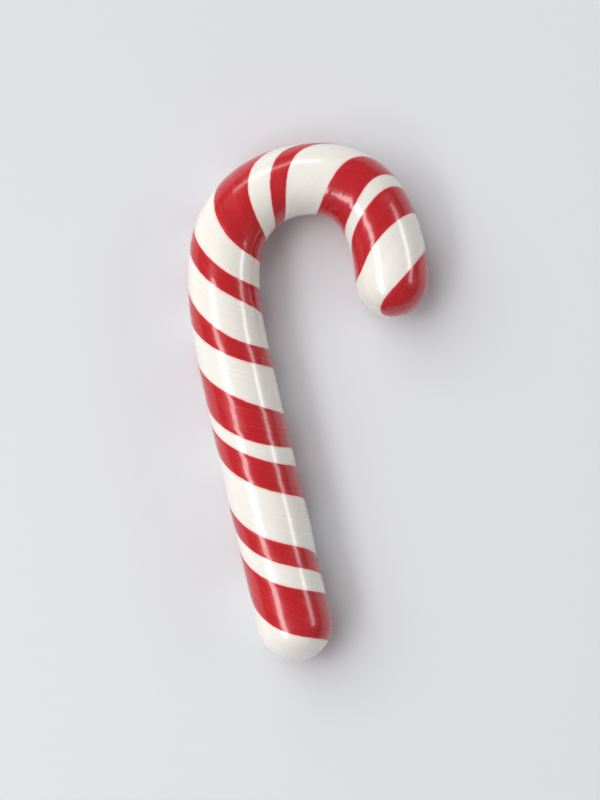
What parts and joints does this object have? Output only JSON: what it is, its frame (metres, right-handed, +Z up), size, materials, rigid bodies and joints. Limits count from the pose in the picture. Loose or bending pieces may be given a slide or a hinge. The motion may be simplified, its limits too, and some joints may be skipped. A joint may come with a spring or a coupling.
{
  "type": "candy cane",
  "caption": "Hard-candy cane lying flat: a thick round-ended sugar stick bent into a crook, with twisted red and white stripes.",
  "frame": {"origin": "on the surface the cane lies on, under the middle of its outline seen from above", "axes": "+Y along the straight shank towards the crook, +X to the side the crook curls to, +Z up out of the shown side"},
  "size_m": [0.0738, 0.1498, 0.0221],
  "materials": {
    "candy": "glossy boiled sugar, warm white with twisted red stripes of uneven width"
  },
  "bodies": {
    "root": {"candy_cane": "candy"}
  },
  "joints": []
}
